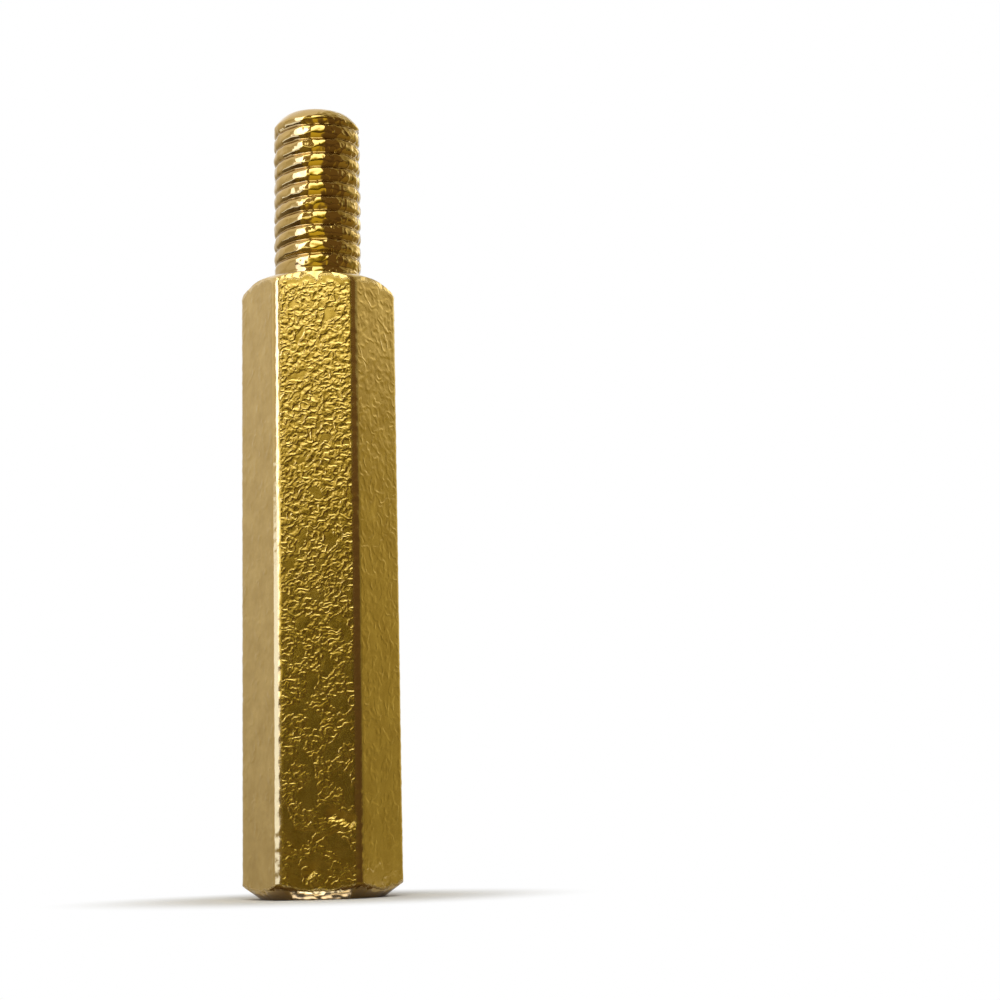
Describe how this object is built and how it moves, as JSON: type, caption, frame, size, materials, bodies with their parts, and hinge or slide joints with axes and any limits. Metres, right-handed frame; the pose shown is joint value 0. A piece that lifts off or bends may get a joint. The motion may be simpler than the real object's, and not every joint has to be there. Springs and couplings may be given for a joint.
{
  "type": "hex standoff",
  "caption": "Slim hexagonal brass standoff with a threaded stud on one end and a blind tapped hole in the other, for spacing circuit boards and panels.",
  "frame": {"origin": "centre of the tapped end face, which the standoff stands on", "axes": "+Z along the standoff's axis towards the tip of the stud, -Y out of one flat of the hexagon, +X out of one corner"},
  "size_m": [0.0052, 0.0044, 0.026],
  "materials": {
    "brass": "bare drawn and turned brass, slightly hammered flats"
  },
  "bodies": {
    "root": {"standoff": "brass"}
  },
  "joints": []
}
